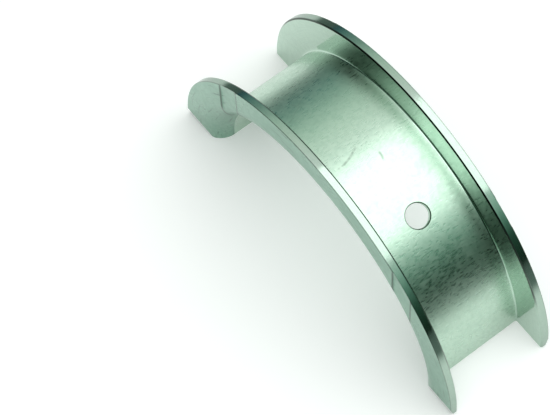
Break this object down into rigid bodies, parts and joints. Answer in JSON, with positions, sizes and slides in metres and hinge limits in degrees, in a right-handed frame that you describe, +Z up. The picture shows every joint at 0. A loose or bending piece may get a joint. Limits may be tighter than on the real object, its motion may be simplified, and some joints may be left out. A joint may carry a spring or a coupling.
{
  "type": "engine bearing shell",
  "caption": "Flanged half shell of a plain main bearing: thin curved wall with a thrust flange on each side, oil hole, bore oil groove and thrust face grooves.",
  "frame": {"origin": "on the journal axis, halfway along the shell, in the parting plane that the shell stands on", "axes": "+X across the parting faces towards the end nearest the oil hole, +Y along the journal axis, +Z up to the crown"},
  "size_m": [0.078, 0.0226, 0.039],
  "materials": {
    "shell": "tin-flashed steel strip, semi-gloss, with fine drawing grain along the journal axis"
  },
  "bodies": {
    "root": {"bearing_shell": "shell"}
  },
  "joints": []
}
